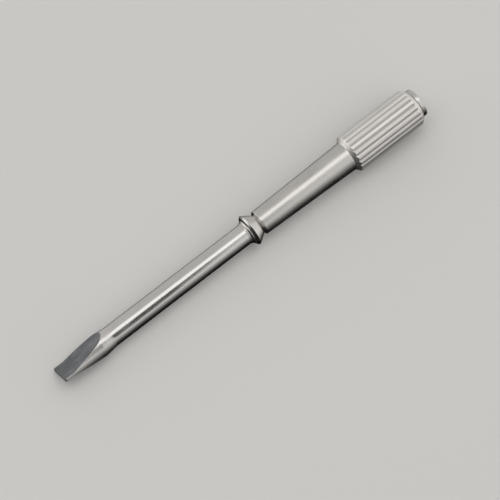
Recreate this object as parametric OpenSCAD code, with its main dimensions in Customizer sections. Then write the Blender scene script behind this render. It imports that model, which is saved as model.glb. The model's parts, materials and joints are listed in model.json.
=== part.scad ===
// Watchmaker's screwdriver: a flat blade pressed into a tapered all-metal handle with a fluted
// grip and a finger button that swivels on a ball.
// X runs along the tool from the blade's tip to the button, and +Z is up as the tool lies on
// a bench. The origin is the middle of the blade's tip. Lengths in millimetres.

/* [Blade] */
// Width of the blade at its tip
blade_w = 3; // [2.8:0.05:3.1]
// Thickness of the blade at its tip
blade_t = 0.36; // [0.3:0.02:0.5]
// Bevel at the tip's corners
tip_bevel = 0.14; // [0.04:0.02:0.2]
// Length of the parallel stretch that enters the screw slot
slot_l = 1.35; // [0.8:0.05:1.6]
// Angle of each ground face to the axis
grind_angle = 11.6; // [11:0.1:12.5]
// Radius of the stone that the ground faces run out on
stone_r = 11; // [9:0.5:14]
// Distance from the tip to where the faces start to run out
runout_x = 4.6; // [4.2:0.1:4.9]
// Diameter of the flared head at the end of the ground faces
head_d = 2.84; // [2.7:0.02:2.9]
// Distance from the tip to the widest end of the head's shoulder
head_x = 5.6; // [5.3:0.1:5.9]
// Distance from the tip to where the head meets the shank
head_l = 7.15; // [6.8:0.05:7.6]
// Diameter of the shank
shank_d = 2.5; // [2.3:0.05:2.6]
// Distance from the tip to the nose ring
reach = 26.3; // [18:0.05:40]
// Diameter of the tang inside the handle
tang_d = 1.4; // [1:0.05:1.5]
// Length of the tang
tang_l = 12.2; // [8:0.1:12.4]
// Turn of the blade's width from level, about the tool's axis
blade_roll = 38.5; // [0:0.5:75]

/* [Nose and collar] */
// Largest diameter of the nose ring
nose_d = 3; // [2.8:0.05:3.2]
// Length of the nose ring
nose_l = 0.47; // [0.45:0.01:1]
// Width of the groove between the nose ring and the collar's rim
groove_w = 0.09; // [0.06:0.01:0.3]
// Diameter of the collar's rim
collar_d = 3.9; // [3.7:0.05:4.4]
// Length of the collar from its rim to the handle body
collar_l = 1.54; // [1.3:0.01:2]
// Bevel at the front of the collar's rim
rim_bevel = 0.2; // [0.1:0.02:0.26]
// Width of the collar's cylindrical rim
rim_w = 0.04; // [0.02:0.02:0.2]
// Diameter of the collar's waist
waist_d = 2.3; // [2.24:0.02:2.4]
// Length of the waist ahead of the handle body
waist_l = 0.1; // [0.04:0.02:0.2]

/* [Handle body] */
// Diameter of the body at its front edge
body_front_d = 3; // [2.9:0.05:3.2]
// Diameter of the body where it meets the grip
body_rear_d = 3.6; // [3.4:0.05:3.7]
// Length of the body's taper
body_l = 12.75; // [12.6:0.01:20]
// Bevel at the body's front edge
body_bevel = 0.12; // [0.06:0.02:0.2]

/* [Grip] */
// Diameter over the ridges
grip_d = 4.7; // [4.5:0.05:5]
// Length of the grip
grip_l = 9.85; // [9.5:0.01:12]
// Number of flutes
flutes = 20; // [16:2:20]
// Depth of each flute
flute_d = 0.13; // [0.08:0.01:0.2]
// Width of each flute at the grip's surface
flute_w = 0.46; // [0.2:0.02:0.5]
// Width of the flat at the bottom of each flute
flute_floor = 0.04; // [0.02:0.02:0.1]
// Turn of the first flute from the top, about the tool's axis
flute_turn = 15.5; // [0:0.5:18]
// Length of the slope at the front of the grip
grip_slope = 0.46; // [0.4:0.02:0.6]
// Bevel at the rear of the grip
grip_bevel = 0.48; // [0.3:0.02:0.6]

/* [Swivel] */
// Diameter of the button
button_d = 3.5; // [3.3:0.02:3.6]
// Thickness of the button
button_l = 0.53; // [0.42:0.01:0.9]
// Radius of the button's outer edge
button_edge = 0.26; // [0.1:0.02:0.3]
// Depth of the hollow in the button's end
dish_depth = 0.06; // [0.04:0.01:0.08]
// Diameter of the button's stem
stem_d = 1.4; // [1.2:0.05:1.5]
// Diameter of the ball that takes the thrust
ball_d = 1; // [0.8:0.05:1]
// Thickness of the washer under the button
washer_t = 0.07; // [0.05:0.01:0.2]
// Diameter of the washer
washer_d = 3; // [2.6:0.05:3.2]

/* [Hidden] */
$fn = 96;

// Sides of the large rounds, which need more than the small ones
LARGE_FN = 360;
// Overshoot of a cutter past what it cuts
OVER = 0.5;

// Steel as it looks on each piece
SATIN_STEEL = [0.78, 0.77, 0.75];
GROUND_STEEL = [0.66, 0.67, 0.68];
HARD_STEEL = [0.6, 0.6, 0.62];
BRONZE = [0.72, 0.52, 0.28];
DARK_PLASTIC = [0.12, 0.12, 0.13];

// Where each piece starts, from the tip
nose_end = reach + nose_l;
collar_x = nose_end + groove_w;
body_x = collar_x + collar_l;
grip_x = body_x + body_l;
grip_end = grip_x + grip_l;

// The nose ring's lip over the shank, its neck, and the short land before its end
nose_lip = 0.04;
nose_neck = 0.1;
nose_neck_l = 0.22;
nose_land = 0.1;

// The collar's hub, its spigot in the body, and the relief inside its flat rim face
hub_r = 1.05;
collar_spigot_r = 1;
collar_spigot_l = 2.6;
rim_face_r = nose_d / 2 + 0.02;
relief = 0.06;

// Step from the body up to the front of the grip
grip_step = 0.02;

// Bevel at the button's inner edge, and the flat land around its dish
button_bevel = 0.05;
button_land = 0.1;

// The body's spigot in the grip, and the room past the tang's end
body_spigot_r = 1.4;
body_spigot_l = 5.7;
tang_room = 0.2;

// The swivel's clearances, and the places of its inner pieces
run_gap = 0.02;
end_gap = 0.03;
ring_gap = 0.05;
ring_t = 0.25;
ring_r = 1;
ring_groove_r = 0.5;
ring_mouth = 0.6;
ball_cup = 0.15;
ring_lead = 0.4;
stem_hold = 0.25;
ball_x = grip_x + body_spigot_l + run_gap + ball_d / 2;
stem_x = ball_x + ball_cup;
ring_x = stem_x + ring_lead;
bush_x = ring_x + ring_t + ring_gap;
washer_x = grip_end + end_gap;
button_x = washer_x + washer_t;
button_end = button_x + button_l;

// A solid of revolution about the tool's axis, from points [radius, distance from the tip]
module lathe(points) {
    rotate([0, 90, 0])
        rotate_extrude()
            polygon(points);
}

// A round bar or bore along the tool's axis
module bar(r, from, to) {
    translate([from, 0, 0])
        rotate([0, 90, 0])
            cylinder(r = r, h = to - from);
}

// What the stone takes off above one face of the blade, seen along the blade's width
module grind_outline() {
    half_t = blade_t / 2;
    runout_y = half_t + (runout_x - slot_l) * tan(grind_angle);
    stone = [runout_x - stone_r * sin(grind_angle), runout_y + stone_r * cos(grind_angle)];
    polygon([
        [-OVER, half_t],
        [slot_l, half_t],
        [runout_x, runout_y],
        stone,
        [-OVER, stone[1]]
    ]);
    translate(stone)
        circle(r = stone_r, $fn = LARGE_FN);
}

// The blade: flat tip, flared head, shank and tang in one piece
module blade() {
    tang_end = nose_end + tang_l;
    color(GROUND_STEEL)
        rotate([-blade_roll, 0, 0])
            difference() {
                lathe([
                    [0, 0],
                    [blade_w / 2 - tip_bevel, 0],
                    [blade_w / 2, tip_bevel],
                    [head_d / 2, head_x],
                    [shank_d / 2, head_l],
                    [shank_d / 2, nose_end],
                    [tang_d / 2, nose_end],
                    [tang_d / 2, tang_end],
                    [0, tang_end]
                ]);
                for (side = [0, 1])
                    mirror([0, 0, side])
                        rotate([90, 0, 0])
                            linear_extrude(height = 2 * blade_w, center = true)
                                grind_outline();
            }
}

// The ring that closes the joint between shank and collar, trumpet-shaped at the front
module nose_ring() {
    color(SATIN_STEEL)
        difference() {
            lathe([
                [0, reach],
                [shank_d / 2 + nose_lip, reach],
                [shank_d / 2 + nose_neck, reach + nose_neck_l],
                [nose_d / 2, nose_end - nose_land],
                [nose_d / 2, nose_end],
                [0, nose_end]
            ]);
            bar(shank_d / 2, reach - OVER, nose_end + OVER);
        }
}

// The flared collar, with a spigot that is pressed into the body
module collar() {
    spigot_end = body_x + collar_spigot_l;
    color(SATIN_STEEL)
        difference() {
            lathe([
                [0, nose_end],
                [hub_r, nose_end],
                [hub_r, collar_x + relief],
                [rim_face_r, collar_x + relief],
                [rim_face_r, collar_x],
                [collar_d / 2 - rim_bevel, collar_x],
                [collar_d / 2, collar_x + rim_bevel],
                [collar_d / 2, collar_x + rim_bevel + rim_w],
                [waist_d / 2, body_x - waist_l],
                [waist_d / 2, body_x],
                [collar_spigot_r, body_x],
                [collar_spigot_r, spigot_end],
                [0, spigot_end]
            ]);
            bar(tang_d / 2, nose_end - OVER, spigot_end + OVER);
        }
}

// The tapered body, bored for the collar and the tang, with a spigot that carries the grip
module handle_body() {
    spigot_end = grip_x + body_spigot_l;
    bore_end = nose_end + tang_l + tang_room;
    color(SATIN_STEEL)
        difference() {
            lathe([
                [0, body_x],
                [body_front_d / 2 - body_bevel, body_x],
                [body_front_d / 2, body_x + body_bevel],
                [body_rear_d / 2, grip_x],
                [body_spigot_r, grip_x],
                [body_spigot_r, spigot_end],
                [0, spigot_end]
            ]);
            bar(collar_spigot_r, body_x - OVER, body_x + collar_spigot_l);
            bar(tang_d / 2, body_x - OVER, bore_end);
        }
}

// One flute's cutter, lengthwise: a V with a flat bottom, wider outside the grip
module flute() {
    out = OVER / flute_d + 1;
    spread = (flute_w - flute_floor) / 2 * out + flute_floor / 2;
    bottom = grip_d / 2 - flute_d;
    translate([0, 0, grip_x - OVER])
        linear_extrude(height = grip_l + 2 * OVER)
            polygon([
                [bottom, -flute_floor / 2],
                [bottom, flute_floor / 2],
                [bottom + flute_d * out, spread],
                [bottom + flute_d * out, -spread]
            ]);
}

// The fluted grip, a sleeve on the body's spigot that also holds the bush
module grip_sleeve() {
    color(SATIN_STEEL)
        difference() {
            lathe([
                [0, grip_x],
                [body_rear_d / 2 + grip_step, grip_x],
                [grip_d / 2, grip_x + grip_slope],
                [grip_d / 2, grip_end - grip_bevel],
                [grip_d / 2 - grip_bevel, grip_end],
                [0, grip_end]
            ]);
            for (i = [0 : flutes - 1])
                rotate([flute_turn + i * 360 / flutes, 0, 0])
                    rotate([0, 90, 0])
                        flute();
            bar(body_spigot_r, grip_x - OVER, grip_end + OVER);
        }
}

// The plain bush that the stem turns in
module swivel_bush() {
    color(BRONZE)
        difference() {
            bar(body_spigot_r, bush_x, grip_end);
            bar(stem_d / 2 + run_gap, bush_x - OVER, grip_end + OVER);
        }
}

// Half section of the button, [radius, distance from the tip], with a round outer edge
module button_outline() {
    r = button_d / 2;
    polygon([
        [0, button_x],
        [r - button_bevel, button_x],
        [r, button_x + button_bevel],
        [r, button_end - button_edge],
        [r - button_edge, button_end],
        [0, button_end]
    ]);
    intersection() {
        translate([r - button_edge, button_end - button_edge])
            circle(r = button_edge, $fn = 48);
        translate([0, button_end - button_edge])
            square([r, button_edge]);
    }
}

// The finger button, hollowed at the end and bored for its stem
module swivel_button() {
    dish_half_w = button_d / 2 - button_edge - button_land;
    dish_r = (pow(dish_half_w, 2) + pow(dish_depth, 2)) / (2 * dish_depth);
    color(SATIN_STEEL)
        difference() {
            rotate([0, 90, 0])
                rotate_extrude()
                    button_outline();
            translate([button_end - dish_depth + dish_r, 0, 0])
                rotate([0, 90, 0])
                    sphere(r = dish_r, $fn = LARGE_FN);
            bar(stem_d / 2, button_x - OVER, button_x + stem_hold);
        }
}

// The stem pressed into the button, grooved for the ring and cupped for the ball
module button_stem() {
    color(HARD_STEEL)
        difference() {
            lathe([
                [0, stem_x],
                [stem_d / 2, stem_x],
                [stem_d / 2, ring_x],
                [ring_groove_r, ring_x],
                [ring_groove_r, ring_x + ring_t],
                [stem_d / 2, ring_x + ring_t],
                [stem_d / 2, button_x + stem_hold],
                [0, button_x + stem_hold]
            ]);
            translate([ball_x, 0, 0])
                sphere(d = ball_d);
        }
}

// The washer between the button and the grip
module thrust_washer() {
    color(DARK_PLASTIC)
        difference() {
            bar(washer_d / 2, washer_x, button_x);
            bar(stem_d / 2, washer_x - OVER, button_x + OVER);
        }
}

// The open spring ring that keeps the stem in the bush
module retaining_ring() {
    color(HARD_STEEL)
        difference() {
            bar(ring_r, ring_x, ring_x + ring_t);
            bar(ring_groove_r, ring_x - OVER, ring_x + ring_t + OVER);
            rotate([-blade_roll, 0, 0])
                translate([ring_x - OVER, -ring_mouth / 2, 0])
                    cube([ring_t + 2 * OVER, ring_mouth, ring_r + OVER]);
        }
}

// The ball in the stem's cup that turns on the end of the body's spigot
module thrust_ball() {
    color(HARD_STEEL)
        translate([ball_x, 0, 0])
            sphere(d = ball_d);
}

blade();
nose_ring();
collar();
handle_body();
grip_sleeve();
swivel_bush();
swivel_button();
button_stem();
thrust_washer();
retaining_ring();
thrust_ball();
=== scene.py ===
import json
import math

import bmesh
import bpy
from mathutils import Matrix, Vector


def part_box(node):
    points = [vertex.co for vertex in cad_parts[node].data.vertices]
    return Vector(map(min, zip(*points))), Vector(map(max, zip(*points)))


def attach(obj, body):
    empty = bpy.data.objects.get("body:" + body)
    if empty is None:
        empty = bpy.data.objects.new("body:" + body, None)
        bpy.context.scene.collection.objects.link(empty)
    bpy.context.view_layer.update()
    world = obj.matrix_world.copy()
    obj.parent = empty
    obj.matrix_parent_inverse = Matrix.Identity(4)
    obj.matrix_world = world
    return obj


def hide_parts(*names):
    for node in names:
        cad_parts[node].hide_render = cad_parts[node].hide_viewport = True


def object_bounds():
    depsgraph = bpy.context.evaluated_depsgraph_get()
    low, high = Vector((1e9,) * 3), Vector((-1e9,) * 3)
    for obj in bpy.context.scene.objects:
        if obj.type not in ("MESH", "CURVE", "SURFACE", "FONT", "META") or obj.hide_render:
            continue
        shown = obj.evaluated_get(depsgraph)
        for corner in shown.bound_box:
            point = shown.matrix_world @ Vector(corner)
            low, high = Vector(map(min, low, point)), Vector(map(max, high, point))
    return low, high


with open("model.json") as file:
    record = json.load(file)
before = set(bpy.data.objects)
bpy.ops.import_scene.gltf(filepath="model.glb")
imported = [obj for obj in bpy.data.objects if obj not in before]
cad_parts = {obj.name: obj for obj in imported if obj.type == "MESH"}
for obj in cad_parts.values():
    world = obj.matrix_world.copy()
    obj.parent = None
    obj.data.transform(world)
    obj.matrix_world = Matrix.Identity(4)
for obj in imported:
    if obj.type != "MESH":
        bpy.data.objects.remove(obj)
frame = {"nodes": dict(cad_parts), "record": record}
cad_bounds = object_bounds()
MM = 0.001

# ---- Camera: the photograph's viewing angle ----

CAMERA_AZIMUTH = math.radians(-39.03)
CAMERA_ELEVATION = math.radians(71)
CAMERA_DISTANCE = 400 * MM
CAMERA_VIEW = math.radians(8.01)
AIM_OFFSET = (-0.215 * MM, -1.83 * MM, 0)


def make_camera():
    """The camera looks down on the tool, a little from the tip's end, with the horizon level. It aims near the
    middle of the tool."""
    back = Vector((
        math.sin(CAMERA_AZIMUTH) * math.cos(CAMERA_ELEVATION),
        -math.cos(CAMERA_AZIMUTH) * math.cos(CAMERA_ELEVATION),
        math.sin(CAMERA_ELEVATION),
    ))
    middle = (cad_bounds[0] + cad_bounds[1]) / 2
    aim = Vector((middle.x, 0, 0)) + Vector(AIM_OFFSET)
    data = bpy.data.cameras.new("camera")
    data.sensor_width = 36
    data.angle = CAMERA_VIEW
    data.clip_start = 10 * MM
    data.clip_end = 10
    camera = bpy.data.objects.new("camera", data)
    camera.location = aim + back * CAMERA_DISTANCE
    camera.rotation_mode = "QUATERNION"
    camera.rotation_quaternion = back.to_track_quat("Z", "Y")
    bpy.context.scene.collection.objects.link(camera)
    bpy.context.scene.camera = camera


make_camera()

# ---- Places, from the frame ----


def ends(node):
    """Where a node starts and ends along the tool."""
    low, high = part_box(node)
    return low.x, high.x


def radius(node):
    """A round node's outer radius."""
    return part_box(node)[1].z


def mount_radius(name):
    """The radius that the record gives for one of its mounts."""
    for mount in frame["record"]["mounts"]:
        if mount["name"] == name:
            return mount["dims"]["r_mm"] * MM
    raise KeyError(name)


shank_r = mount_radius("shank")
blade_start, tang_end = ends("blade")
nose_start, nose_end = ends("nose_ring")
collar_start, collar_end = ends("collar")
body_start, body_end = ends("handle_body")
grip_start, grip_end = ends("grip_sleeve")
washer_start, washer_end = ends("thrust_washer")
button_start, button_end = ends("swivel_button")
stem_end = ends("button_stem")[1]

# ---- Mesh work ----

ARC_STEPS = 6
WEAR_WIDTH = 0.12 * MM
AROUND = 240
SHARP = math.radians(24)
NORMAL_WEIGHT = 80
MERGE = 1e-8


def rounded(corners, closed):
    """Points [x, r, edge] along an outline of corners [x, r, corner radius]. edge is 1 on outer corners, which
    get a lighter wear colour that is partly a painted highlight, and -1 in inner ones, which get painted
    shade. The outline runs from the front face outwards and back along the inside."""
    points = []
    count = len(corners)
    for i, (x, r, corner_r) in enumerate(corners):
        if corner_r == 0 or (not closed and i in (0, count - 1)):
            points.append((x, r, 0))
            continue
        here = Vector((x, r))
        back = Vector(corners[i - 1][:2]) - here
        ahead = Vector(corners[(i + 1) % count][:2]) - here
        half = back.angle(ahead) / 2
        room = 0.45 * min(back.length, ahead.length)
        reach = min(corner_r / math.tan(half), 0.7 * room)
        fade = min(WEAR_WIDTH, room - reach)
        edge = 1 if back.x * ahead.y - back.y * ahead.x > 0 else -1
        start = here + back.normalized() * reach
        end = here + ahead.normalized() * reach
        points.append((*(start + back.normalized() * fade), 0))
        for step in range(ARC_STEPS + 1):
            t = step / ARC_STEPS
            weights = ((1 - t) ** 2, 2 * math.sin(half) * t * (1 - t), t ** 2)
            place = (start * weights[0] + here * weights[1] + end * weights[2]) / sum(weights)
            points.append((*place, edge))
        points.append((*(end + ahead.normalized() * fade), 0))
    return points


def new_piece(name, mesh_data, body, node, materials):
    """Turns mesh data into a piece that rides on a body and stands for a CAD node."""
    mesh = bpy.data.meshes.new(name)
    bmesh.ops.remove_doubles(mesh_data, verts=mesh_data.verts, dist=MERGE)
    bmesh.ops.recalc_face_normals(mesh_data, faces=mesh_data.faces)
    mesh_data.to_mesh(mesh)
    mesh_data.free()
    for material in materials:
        mesh.materials.append(material)
    mesh.shade_smooth()
    mesh.set_sharp_from_angle(angle=SHARP)
    piece = bpy.data.objects.new(name, mesh)
    bpy.context.scene.collection.objects.link(piece)
    normals = piece.modifiers.new("normals", "WEIGHTED_NORMAL")
    normals.mode = "FACE_AREA"
    normals.weight = NORMAL_WEIGHT
    normals.keep_sharp = True
    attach(piece, body)
    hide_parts(node)
    return piece


def revolved(columns, closed):
    """A mesh from columns [angle, outline points] around the tool's axis."""
    mesh = bmesh.new()
    edge_layer = mesh.verts.layers.float.new("edge")
    made = []
    for angle, points in columns:
        made.append([])
        for x, r, edge in points:
            vert = mesh.verts.new((x, -r * math.sin(angle), r * math.cos(angle)))
            vert[edge_layer] = edge
            made[-1].append(vert)
    rows = len(made[0])
    for column, beside in zip(made, made[1:] + made[:1]):
        for j in range(rows if closed else rows - 1):
            k = (j + 1) % rows
            mesh.faces.new((column[j], column[k], beside[k], beside[j]))
    return mesh


def turned(corners, closed=True):
    """A mesh of one rounded outline turned about the tool's axis."""
    points = rounded(corners, closed)
    return revolved([(2 * math.pi * i / AROUND, points) for i in range(AROUND)], closed)


# ---- Materials ----


class Shader:
    """A material's node tree with short ways to add nodes."""

    def __init__(self, name, metallic, color):
        self.material = bpy.data.materials.new(name)
        self.material.use_nodes = True
        self.tree = self.material.node_tree
        self.surface = self.tree.nodes["Principled BSDF"]
        self.surface.inputs["Metallic"].default_value = metallic
        self.surface.inputs["Base Color"].default_value = (*color, 1)
        coordinates = self.tree.nodes.new("ShaderNodeTexCoord")
        self.place = coordinates.outputs["Object"]

    def link(self, source, node, socket):
        """Feeds a socket from another node's output, or sets it to a number or colour."""
        if isinstance(source, bpy.types.NodeSocket):
            self.tree.links.new(source, node.inputs[socket])
        else:
            node.inputs[socket].default_value = source

    def math(self, operation, *values, clamp=False):
        node = self.tree.nodes.new("ShaderNodeMath")
        node.operation = operation
        node.use_clamp = clamp
        for i, value in enumerate(values):
            self.link(value, node, i)
        return node.outputs[0]

    def noise(self, per_mm, detail=3, rough=0.5):
        """Noise from 0 to 1 with so many features per millimetre along X, Y and Z."""
        stretch = self.tree.nodes.new("ShaderNodeVectorMath")
        stretch.operation = "MULTIPLY"
        self.link(self.place, stretch, 0)
        self.link([n / MM for n in per_mm], stretch, 1)
        node = self.tree.nodes.new("ShaderNodeTexNoise")
        self.link(stretch.outputs[0], node, "Vector")
        self.link(1, node, "Scale")
        self.link(detail, node, "Detail")
        self.link(rough, node, "Roughness")
        return node.outputs["Fac"]

    def scaled(self, source, low, high, to_low, to_high):
        """Maps a range of values to another, clamped."""
        node = self.tree.nodes.new("ShaderNodeMapRange")
        for socket, value in zip((0, 1, 2, 3, 4), (source, low, high, to_low, to_high)):
            self.link(value, node, socket)
        return node.outputs[0]

    def blend(self, factor, first, second):
        """Mixes two colours."""
        node = self.tree.nodes.new("ShaderNodeMix")
        node.data_type = "RGBA"
        self.link(factor, node, 0)
        self.link((*first, 1) if isinstance(first, tuple) else first, node, 6)
        self.link((*second, 1) if isinstance(second, tuple) else second, node, 7)
        return node.outputs[2]

    def attribute(self, name):
        node = self.tree.nodes.new("ShaderNodeAttribute")
        node.attribute_name = name
        return node.outputs["Fac"]

    def bump(self, height, depth, normal=None):
        """Relief of so many metres."""
        node = self.tree.nodes.new("ShaderNodeBump")
        self.link(depth, node, "Distance")
        self.link(height, node, "Height")
        if normal:
            self.link(normal, node, "Normal")
        return node.outputs["Normal"]


SPECK_PER_MM = (7, 7, 7)
PATCH_PER_MM = (0.35, 0.6, 0.6)
MIDDLE_NOISE = (0.3, 0.7)
WEAR_GLINT_LIGHTER = 1.06
WEAR_GLINT_BLEND = 0.7
WORN_SMOOTHER = 0.05
PAINTED_SHADE_BLEND = 0.6


def satin_metal(name, color, dark, roughness, grain_per_mm, grain_depth, speck_depth, shade_tone=0.6):
    """Satin metal: fine grain one way, specks, cloudy finger marks, lighter wear on outer edges that is partly
    a painted highlight, and painted shade in inner corners and flutes, whose darkness the last argument sets,
    from black at 0."""
    shader = Shader(name, 1, color)
    grain = shader.noise(grain_per_mm, detail=4, rough=0.65)
    speck = shader.noise(SPECK_PER_MM, detail=2, rough=0.6)
    patch = shader.noise(PATCH_PER_MM, detail=3, rough=0.55)
    edge = shader.attribute("edge")
    # Outer edges get a lighter colour: wear, and partly a painted highlight.
    wear_and_glint = shader.math("MAXIMUM", edge, 0, clamp=True)
    # Inner corners and flute floors get painted shade: a darker colour where shade falls.
    painted_shade = shader.math("MULTIPLY", shader.math("MINIMUM", edge, 0), -1, clamp=True)
    tone = shader.scaled(shader.math("ADD", grain, patch), 0.7, 1.3, 0, 1)
    base = shader.blend(tone, dark, color)
    # The lighter colour is for outer edges (wear, partly a painted highlight); the darker one is the painted
    # shade colour for inner corners.
    wear_glint_color = tuple(min(1, c * WEAR_GLINT_LIGHTER) for c in color)
    corner = tuple(c * shade_tone for c in dark)
    base = shader.blend(shader.math("MULTIPLY", wear_and_glint, WEAR_GLINT_BLEND), base, wear_glint_color)
    base = shader.blend(shader.math("MULTIPLY", painted_shade, PAINTED_SHADE_BLEND), base, corner)
    shader.link(base, shader.surface, "Base Color")
    rough = shader.scaled(patch, *MIDDLE_NOISE, roughness - 0.03, roughness + 0.04)
    rough = shader.math("ADD", rough, shader.scaled(grain, *MIDDLE_NOISE, -0.02, 0.03))
    rough = shader.math("SUBTRACT", rough, shader.math("MULTIPLY", wear_and_glint, WORN_SMOOTHER))
    shader.link(rough, shader.surface, "Roughness")
    normal = shader.bump(grain, grain_depth)
    shader.link(shader.bump(speck, speck_depth, normal), shader.surface, "Normal")
    return shader.material


def matte_plastic(name, color):
    """Dark moulded plastic with a fine uneven surface."""
    shader = Shader(name, 0, color)
    patch = shader.noise((1.5, 1.5, 1.5))
    pores = shader.noise((12, 12, 12))
    lighter = tuple(c * 1.6 for c in color)
    base = shader.blend(shader.scaled(patch, *MIDDLE_NOISE, 0, 1), color, lighter)
    shader.link(base, shader.surface, "Base Color")
    shader.link(shader.scaled(pores, *MIDDLE_NOISE, 0.5, 0.7), shader.surface, "Roughness")
    shader.link(shader.bump(pores, 2e-6), shader.surface, "Normal")
    return shader.material


# Grain per millimetre along X, Y and Z: rings, lines along the rod, and finer lines from the stone.
TURNED = (22, 0.5, 0.5)
DRAWN = (0.3, 14, 14)
GROUND = (0.25, 18, 18)

# The handle's inner corners, such as the collar's waist, get a little painted shade.
handle_steel = satin_metal(
    "handle_steel", (0.72, 0.70, 0.67), (0.60, 0.585, 0.56), 0.27, TURNED, 0.8e-6, 2e-6, shade_tone=0.95)
# The grip's flutes get strong painted shade, darkest at their floors, set by the last argument.
grip_steel = satin_metal(
    "grip_steel", (0.93, 0.905, 0.87), (0.81, 0.79, 0.76), 0.5, TURNED, 0.5e-6, 1.2e-6, shade_tone=0.45)
shank_steel = satin_metal("shank_steel", (0.74, 0.72, 0.70), (0.63, 0.615, 0.595), 0.18, DRAWN, 0.5e-6, 0.5e-6)
head_steel = satin_metal("head_steel", (0.76, 0.74, 0.715), (0.65, 0.635, 0.61), 0.27, DRAWN, 0.5e-6, 1e-6)
# The ground faces are the blade's steel painted much darker: a painted dark reflection.
ground_face_painted_dark = satin_metal("ground_face_painted_dark", (0.32, 0.33, 0.34), (0.125, 0.132, 0.14), 0.34, GROUND, 3e-6, 3e-6)
hard_steel = satin_metal("hard_steel", (0.55, 0.55, 0.56), (0.45, 0.45, 0.46), 0.22, TURNED, 0.5e-6, 0.5e-6)
ball_steel = satin_metal("ball_steel", (0.72, 0.72, 0.74), (0.66, 0.66, 0.68), 0.10, (1, 1, 1), 0.2e-6, 0.2e-6)
bronze = satin_metal("bronze", (0.72, 0.50, 0.26), (0.55, 0.36, 0.18), 0.30, TURNED, 1e-6, 1e-6)
washer_plastic = matte_plastic("washer_plastic", (0.02, 0.02, 0.022))

# ---- Blade ----

TIP_HALF_W = 1.5 * MM
TIP_HALF_T = 0.18 * MM
TIP_CORNER = 0.17 * MM
SLOT_L = 1.35 * MM
GRIND_ANGLE = math.radians(11.6)
STONE_R = 11 * MM
RUNOUT_X = 4.6 * MM
HEAD_R = 1.42 * MM
HEAD_X = 5.6 * MM
HEAD_L = 7.15 * MM
HEAD_CORNER = 4 * MM
SHANK_CORNER = 6 * MM
TANG_R = 0.7 * MM
BLADE_ROLL = math.radians(38.5)
BLADE_EDGE = 0.02 * MM
SLOT_SOFT = 0.08 * MM
SIDE_STEPS = 44
EDGE_STEPS = 4
FACE_STEPS = 18
SLOT_FIRST_X = 0.5 * MM
SLOT_STEP = 0.15 * MM
SLOPE_STEPS = 16
ROUND_STEPS = 36
HALVINGS = 40


def along(points, x):
    """The height at x of a line through points [x, height, ...]."""
    for (x0, r0, *_), (x1, r1, *_) in zip(points, points[1:]):
        if x <= x1 and x1 > x0:
            return r0 + (r1 - r0) * (x - x0) / (x1 - x0)
    return points[-1][1]


def face_height(x):
    """Half the blade's thickness between its ground faces: flat, then sloped, then the stone's round."""
    if x > RUNOUT_X:
        end = TIP_HALF_T + (RUNOUT_X - SLOT_L) * math.tan(GRIND_ANGLE)
        stone_x = RUNOUT_X - STONE_R * math.sin(GRIND_ANGLE)
        stone_z = end + STONE_R * math.cos(GRIND_ANGLE)
        return stone_z - math.sqrt(max(0, STONE_R ** 2 - (x - stone_x) ** 2))
    past = x - SLOT_L
    if abs(past) < SLOT_SOFT:
        past = (past + SLOT_SOFT) ** 2 / (4 * SLOT_SOFT)
    return TIP_HALF_T + max(0, past) * math.tan(GRIND_ANGLE)


def blade_section(outer_r, half_t):
    """Half of the blade's section, [y, z]: one round side, a soft edge, one ground face and a soft edge."""
    half_t = min(half_t, outer_r)
    half_w = math.sqrt(outer_r ** 2 - half_t ** 2)
    side = math.atan2(half_t, half_w)
    soft = min(BLADE_EDGE, 0.4 * half_w, 0.4 * half_t)
    turn = side - soft / outer_r if soft > 0 else side
    points = []
    for i in range(SIDE_STEPS):
        angle = turn * (2 * i / (SIDE_STEPS - 1) - 1)
        points.append(Vector((outer_r * math.cos(angle), outer_r * math.sin(angle))))
    corner = Vector((half_w, half_t))
    first = points[-1].copy()
    last = Vector((half_w - soft, half_t))
    for i in range(1, EDGE_STEPS):
        t = i / EDGE_STEPS
        points.append(first * (1 - t) ** 2 + corner * 2 * t * (1 - t) + last * t ** 2)
    for i in range(FACE_STEPS + 1):
        points.append(Vector((last.x * (1 - 2 * i / FACE_STEPS), half_t)))
    for i in range(EDGE_STEPS - 1, 0, -1):
        t = i / EDGE_STEPS
        edge = first * (1 - t) ** 2 + corner * 2 * t * (1 - t) + last * t ** 2
        points.append(Vector((-edge.x, edge.y)))
    return points


def blade_stations(outline):
    """Where the blade's sections stand, [x, inset], close together where the faces run out, and the x where
    they end on the round head, found by halving."""
    stations = []
    for step in range(4):
        turn = math.radians(30 * step)
        stations.append((BLADE_EDGE * (1 - math.cos(turn)), BLADE_EDGE * (1 - math.sin(turn))))
    stations += [(p[0], 0) for p in outline if BLADE_EDGE < p[0] < 2 * TIP_CORNER]
    x = SLOT_FIRST_X
    while x < SLOT_L - SLOT_SOFT:
        stations.append((x, 0))
        x += SLOT_STEP
    stations += [(SLOT_L + SLOT_SOFT * i / 3, 0) for i in range(-3, 4)]
    slope_x = SLOT_L + SLOT_SOFT
    slope_l = RUNOUT_X - slope_x
    stations += [(slope_x + slope_l * i / SLOPE_STEPS, 0) for i in range(1, SLOPE_STEPS + 1)]
    low, high = RUNOUT_X, HEAD_L
    for _ in range(HALVINGS):
        middle = (low + high) / 2
        if face_height(middle) < along(outline, middle):
            low = middle
        else:
            high = middle
    for i in range(1, ROUND_STEPS + 1):
        stations.append((high - (high - RUNOUT_X) * (1 - i / ROUND_STEPS) ** 2, 0))
    stations += [(p[0], 0) for p in outline if p[0] > high]
    return stations, high


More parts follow.
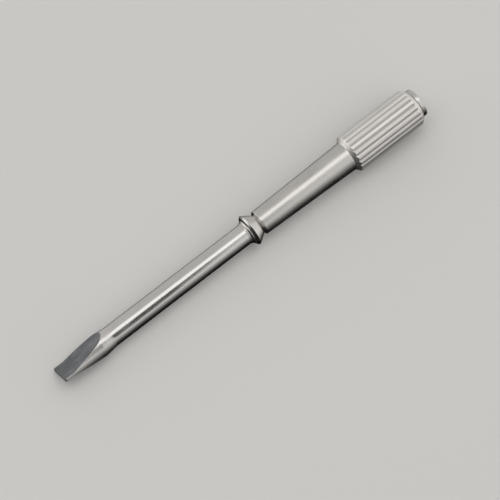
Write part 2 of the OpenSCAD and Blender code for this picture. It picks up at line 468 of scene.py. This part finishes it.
def blade_mesh():
    """The blade, rolled about its axis: ground tip, flared head, shank and tang. Ground faces use the
    second material and the head's round sides the third."""
    outline = rounded([
        (blade_start, 0, 0),
        (blade_start, TIP_HALF_W, TIP_CORNER),
        (HEAD_X, HEAD_R, HEAD_CORNER),
        (HEAD_L, shank_r, SHANK_CORNER),
        (nose_end, shank_r, 0),
    ], closed=False)[1:]
    stations, apex = blade_stations(outline)
    mesh = bmesh.new()
    edge_layer = mesh.verts.layers.float.new("edge")
    roll = Matrix.Rotation(-BLADE_ROLL, 3, "X")
    rings = []
    face_start = SIDE_STEPS + EDGE_STEPS - 1
    for x, inset in stations:
        half = blade_section(along(outline, x) - inset, face_height(x) - inset)
        ring = []
        for side in (1, -1):
            for i, p in enumerate(half):
                vert = mesh.verts.new(roll @ Vector((x, side * p.x, side * p.y)))
                # The blade's ground edges are marked for the lighter wear colour, partly a painted highlight.
                at_corner = SIDE_STEPS - 2 <= i < face_start or i >= face_start + FACE_STEPS
                vert[edge_layer] = 1 if x < apex and (at_corner or x < 1.5 * BLADE_EDGE) else 0
                ring.append(vert)
        rings.append(ring)
    for r, x in ((TANG_R, nose_end), (TANG_R, tang_end)):
        ring = []
        for old in rings[-1]:
            away = Vector((0, old.co.y, old.co.z)).normalized()
            ring.append(mesh.verts.new(Vector((x, 0, 0)) + away * r))
        rings.append(ring)
    count = len(rings[0])
    half_count = count // 2
    for (x, _), ring, following in zip(stations + [(nose_end, 0)] * 2, rings, rings[1:]):
        for i in range(count):
            k = (i + 1) % count
            face = mesh.faces.new((ring[i], ring[k], following[k], following[i]))
            in_face = face_start <= i % half_count < face_start + FACE_STEPS
            rod_index = 2 if x < HEAD_L else 0
            face.material_index = 1 if in_face and x < apex else rod_index
    mesh.faces.new(rings[0]).material_index = 1
    mesh.faces.new(rings[-1])
    return mesh


blade_steels = [shank_steel, ground_face_painted_dark, head_steel]
new_piece("blade_steel_rod", blade_mesh(), "driver", "blade", blade_steels)

# ---- Nose ring, collar and handle body ----

NOSE_LIP = 0.04 * MM
NOSE_NECK = 0.1 * MM
NOSE_NECK_L = 0.22 * MM
NOSE_LAND = 0.1 * MM
NOSE_THROAT = 0.4 * MM
NOSE_CORNER = 0.05 * MM
SMALL_EDGE = 0.03 * MM
FINE_EDGE = 0.02 * MM
SHARP_EDGE = 0.01 * MM

nose_r = radius("nose_ring")
nose_ring = turned([
    (nose_start, shank_r, 0),
    (nose_start, shank_r + NOSE_LIP, SHARP_EDGE),
    (nose_start + NOSE_NECK_L, shank_r + NOSE_NECK, NOSE_THROAT),
    (nose_end - NOSE_LAND, nose_r, NOSE_CORNER),
    (nose_end, nose_r, SMALL_EDGE),
    (nose_end, shank_r, 0),
])
new_piece("nose_ring_steel", nose_ring, "driver", "nose_ring", [handle_steel])

HUB_R = 1.05 * MM
GROOVE_W = 0.09 * MM
RIM_BEVEL = 0.2 * MM
RIM_W = 0.04 * MM
RIM_FACE_STEP = 0.02 * MM
RELIEF = 0.06 * MM
WAIST_R = 1.15 * MM
WAIST_L = 0.1 * MM
WAIST_ROUND = 0.15 * MM
COLLAR_SPIGOT_R = 1.0 * MM

collar_r = radius("collar")
rim_face_r = nose_r + RIM_FACE_STEP
rim_x = nose_end + GROOVE_W
collar = turned([
    (collar_start, TANG_R, 0),
    (collar_start, HUB_R, 0),
    (rim_x + RELIEF, HUB_R, SMALL_EDGE),
    (rim_x + RELIEF, rim_face_r, FINE_EDGE),
    (rim_x, rim_face_r, FINE_EDGE),
    (rim_x, collar_r - RIM_BEVEL, SMALL_EDGE),
    (rim_x + RIM_BEVEL, collar_r, SMALL_EDGE),
    (rim_x + RIM_BEVEL + RIM_W, collar_r, SMALL_EDGE),
    (body_start - WAIST_L, WAIST_R, WAIST_ROUND),
    (body_start, WAIST_R, 0),
    (body_start, COLLAR_SPIGOT_R, 0),
    (collar_end, COLLAR_SPIGOT_R, 0),
    (collar_end, TANG_R, 0),
])
new_piece("collar_steel", collar, "driver", "collar", [handle_steel])

BODY_FRONT_R = 1.5 * MM
BODY_CORNER = 0.1 * MM
TANG_ROOM = 0.2 * MM
BODY_SPIGOT_R = 1.4 * MM

body_r = radius("handle_body")
tang_room_x = tang_end + TANG_ROOM
body = turned([
    (tang_room_x, 0, 0),
    (tang_room_x, TANG_R, 0),
    (collar_end, TANG_R, 0),
    (collar_end, COLLAR_SPIGOT_R, 0),
    (body_start, COLLAR_SPIGOT_R, 0),
    (body_start, BODY_FRONT_R, BODY_CORNER),
    (grip_start, body_r, 0),
    (grip_start, BODY_SPIGOT_R, 0),
    (body_end, BODY_SPIGOT_R, 0),
    (body_end, 0, 0),
], closed=False)
new_piece("handle_body_steel", body, "driver", "handle_body", [handle_steel])

# ---- Grip ----

FLUTES = 20
FLUTE_TURN = math.radians(15.5)
FLUTE_D = 0.13 * MM
FLUTE_W = 0.46 * MM
FLUTE_FLOOR = 0.04 * MM
SHOULDER = 0.12 * MM
GRIP_R = 2.35 * MM
GRIP_STEP = 0.02 * MM
GRIP_SLOPE = 0.46 * MM
GRIP_BEVEL = 0.48 * MM
LAND_STEPS = 6

pitch = 2 * math.pi / FLUTES


def flute_profile():
    """Half of one ridge and half of the flute after it, [across, depth, edge], from the ridge's middle. edge
    goes from 0 on the ridge to -1 on the flute's floor, and sets how much painted shade the flute gets."""
    half_pitch = GRIP_R * pitch / 2
    outline = rounded([
        (0, 0, 0),
        (half_pitch - FLUTE_W / 2, 0, SHOULDER),
        (half_pitch - FLUTE_FLOOR / 2, -FLUTE_D, SHOULDER / 2),
        (half_pitch, -FLUTE_D, 0),
    ], closed=False)
    land_end = outline[1][0]
    land = [(land_end * i / LAND_STEPS, 0, 0) for i in range(LAND_STEPS)]
    # Painted shade grows with the flute's depth.
    return land + [(across, depth, depth / FLUTE_D) for across, depth, _ in outline[1:]]


def flute_column(across, depth, edge):
    """The grip's outline at a place across a ridge: its angle, and its points."""
    r = GRIP_R + depth
    front_r = body_r + GRIP_STEP
    slope = (r - front_r) / (GRIP_R - front_r) * GRIP_SLOPE
    bevel = r - (GRIP_R - GRIP_BEVEL)
    points = rounded([
        (grip_start, BODY_SPIGOT_R, 0),
        (grip_start, front_r, SHARP_EDGE),
        (grip_start + slope, r, SMALL_EDGE),
        (grip_end - bevel, r, SMALL_EDGE),
        (grip_end, GRIP_R - GRIP_BEVEL, FINE_EDGE),
        (grip_end, BODY_SPIGOT_R, 0),
    ], closed=True)
    on_ridge = [abs(p[1] - r) < SMALL_EDGE and p[2] == 0 for p in points]
    return across / GRIP_R, [(x, pr, edge if on else e) for (x, pr, e), on in zip(points, on_ridge)]


def grip_mesh():
    """The fluted grip, with columns of points at each flute's corners."""
    half = [flute_column(*place) for place in flute_profile()]
    ridge = [(-turn, points) for turn, points in reversed(half[1:])] + half[:-1]
    columns = []
    for i in range(FLUTES):
        middle = FLUTE_TURN + (i + 0.5) * pitch
        columns += [(middle + turn, points) for turn, points in ridge]
    return revolved(columns, closed=True)


new_piece("grip_sleeve_steel", grip_mesh(), "driver", "grip_sleeve", [grip_steel])

# ---- Button and washer ----

BUTTON_BEVEL = 0.05 * MM
BUTTON_EDGE = 0.38 * MM
BUTTON_LAND = 0.1 * MM
DISH_DEPTH = 0.06 * MM
DISH_CORNER = 0.05 * MM
DISH_STEPS = 8
STEM_R = 0.7 * MM

button_r = radius("swivel_button")
dish_half_w = button_r - BUTTON_EDGE - BUTTON_LAND
dish_r = (dish_half_w ** 2 + DISH_DEPTH ** 2) / (2 * DISH_DEPTH)


def dish_depth(r):
    """How far the hollow in the button's end goes in at a radius."""
    return math.sqrt(dish_r ** 2 - r ** 2) - (dish_r - DISH_DEPTH)


button_outline = [
    (stem_end, 0, 0),
    (stem_end, STEM_R, 0),
    (button_start, STEM_R, 0),
    (button_start, button_r, BUTTON_BEVEL),
    (button_end, button_r, BUTTON_EDGE),
    (button_end, dish_half_w, DISH_CORNER),
]
for step in range(DISH_STEPS - 1, -1, -1):
    r = dish_half_w * step / DISH_STEPS
    button_outline.append((button_end - dish_depth(r), r, 0))
button = turned(button_outline, closed=False)
new_piece("swivel_button_steel", button, "swivel", "swivel_button", [handle_steel])

washer_r = radius("thrust_washer")
washer = turned([
    (washer_start, STEM_R, 0),
    (washer_start, washer_r, FINE_EDGE),
    (washer_end, washer_r, FINE_EDGE),
    (washer_end, STEM_R, 0),
])
new_piece("thrust_washer_plastic", washer, "swivel", "thrust_washer", [washer_plastic])

# ---- Inner pieces: the CAD nodes with their own materials ----


def dress(node, material):
    """Gives a carried-over CAD node its material."""
    mesh = frame["nodes"][node].data
    mesh.materials.clear()
    mesh.materials.append(material)


dress("swivel_bush", bronze)
dress("button_stem", hard_steel)
dress("retaining_ring", hard_steel)
dress("thrust_ball", ball_steel)

# ---- Floor and light ----

FLOOR_SIZE = 4
FLOOR_COLOR = (0.80, 0.79, 0.77)
FLOOR_ROUGHNESS = 0.9


def make_floor():
    """A plain pale floor under the collar's rim and the grip, which is how the tool lies."""
    rim = Vector((rim_x + RIM_BEVEL, 0, -collar_r))
    ridge = Vector((grip_start + GRIP_SLOPE, 0, -radius("grip_sleeve")))
    tilt = math.atan2(rim.z - ridge.z, ridge.x - rim.x)
    mesh_data = bmesh.new()
    bmesh.ops.create_grid(mesh_data, x_segments=1, y_segments=1, size=FLOOR_SIZE / 2)
    mesh = bpy.data.meshes.new("floor")
    mesh_data.to_mesh(mesh)
    mesh_data.free()
    shader = Shader("floor_paint", 0, FLOOR_COLOR)
    shader.link(FLOOR_ROUGHNESS, shader.surface, "Roughness")
    mesh.materials.append(shader.material)
    floor = bpy.data.objects.new("floor", mesh)
    floor.location = rim
    floor.rotation_euler = (0, tilt, 0)
    floor.visible_glossy = False
    bpy.context.scene.collection.objects.link(floor)


LIT_PLACE = (0.03, 0, 0)


def softbox(name, place, size, power):
    """A soft area light that faces the tool and isn't seen by the camera."""
    data = bpy.data.lights.new(name, "AREA")
    data.shape = "RECTANGLE"
    data.size, data.size_y = size
    data.energy = power
    light = bpy.data.objects.new(name, data)
    light.location = place
    light.rotation_euler = (Vector(place) - Vector(LIT_PLACE)).to_track_quat("Z", "Y").to_euler()
    light.visible_camera = False
    bpy.context.scene.collection.objects.link(light)


CARD_COLOR = (0.01, 0.01, 0.01)


def make_card(name, place, size):
    """A black card over the tool that darkens one band of its reflections."""
    mesh_data = bmesh.new()
    bmesh.ops.create_grid(mesh_data, x_segments=1, y_segments=1, size=0.5)
    mesh = bpy.data.meshes.new(name)
    mesh_data.to_mesh(mesh)
    mesh_data.free()
    mesh.materials.append(Shader(name + "_black", 0, CARD_COLOR).material)
    card = bpy.data.objects.new(name, mesh)
    card.location = place
    card.scale = (*size, 1)
    card.visible_camera = False
    card.visible_diffuse = False
    bpy.context.scene.collection.objects.link(card)


# Parts of the studio: the side each is on, how far towards it the change starts and ends, and the strengths
# before and after. The first, OVERHEAD, is the light itself, glows add to it and shades multiply it.
OVERHEAD = ((0.6, 0.6, 1.0), -0.95, 0.0, 0.04, 0.58)
END_GLOW = ((0.97, -0.2, 0.1), 0.80, 0.97, 0, 0.40)
FLOOR_SHADE = ((0, 0, 1), -0.85, -0.35, 0.12, 1)
TIP_SHADE = ((-0.93, -0.35, 0), 0.72, 0.92, 1, 0.1)
TIP_GLOW = ((-0.83, 0.54, -0.09), 0.88, 0.98, 0, 0.8)
STUDIO_COLOR = (1, 0.99, 0.975, 1)
SEEN_COLOR = (0.62, 0.61, 0.60, 1)


def make_world():
    """A studio that is light above and dark below, with brighter patches past both ends of the tool and a dark
    one before its tip. This is for light and reflections. The camera sees plain pale."""
    world = bpy.data.worlds.new("studio")
    world.use_nodes = True
    tree = world.node_tree
    tree.nodes.clear()
    output = tree.nodes.new("ShaderNodeOutputWorld")
    light = tree.nodes.new("ShaderNodeBackground")
    light.inputs["Color"].default_value = STUDIO_COLOR
    seen = tree.nodes.new("ShaderNodeBackground")
    seen.inputs["Color"].default_value = SEEN_COLOR
    switch = tree.nodes.new("ShaderNodeMixShader")
    path = tree.nodes.new("ShaderNodeLightPath")
    tree.links.new(path.outputs["Is Camera Ray"], switch.inputs[0])
    tree.links.new(light.outputs[0], switch.inputs[1])
    tree.links.new(seen.outputs[0], switch.inputs[2])
    tree.links.new(switch.outputs[0], output.inputs["Surface"])
    direction = tree.nodes.new("ShaderNodeTexCoord")

    def ramp(towards, start, end, before, after):
        """Strength that changes smoothly towards one side of the studio."""
        side = tree.nodes.new("ShaderNodeVectorMath")
        side.operation = "DOT_PRODUCT"
        side.inputs[1].default_value = towards
        tree.links.new(direction.outputs["Generated"], side.inputs[0])
        change = tree.nodes.new("ShaderNodeMapRange")
        change.interpolation_type = "SMOOTHSTEP"
        tree.links.new(side.outputs["Value"], change.inputs["Value"])
        for socket, value in (("From Min", start), ("From Max", end), ("To Min", before), ("To Max", after)):
            change.inputs[socket].default_value = value
        return change.outputs["Result"]

    def joined(operation, first, second):
        node = tree.nodes.new("ShaderNodeMath")
        node.operation = operation
        tree.links.new(first, node.inputs[0])
        tree.links.new(second, node.inputs[1])
        return node.outputs[0]

    strength = joined("ADD", ramp(*OVERHEAD), ramp(*END_GLOW))
    strength = joined("MULTIPLY", strength, ramp(*FLOOR_SHADE))
    strength = joined("MULTIPLY", strength, ramp(*TIP_SHADE))
    strength = joined("ADD", strength, ramp(*TIP_GLOW))
    tree.links.new(strength, light.inputs["Strength"])
    bpy.context.scene.world = world


make_floor()
softbox("key_light", place=(0.05, 0.07, 0.5), size=(0.7, 0.23), power=0.37)
softbox("fill_light", place=(0.12, -0.34, 0.5), size=(0.5, 0.75), power=0.32)
make_card("dark_card", place=(0.031, -0.094, 0.10), size=(0.026, 0.136))
make_world()
bpy.context.scene.view_settings.view_transform = "Standard"
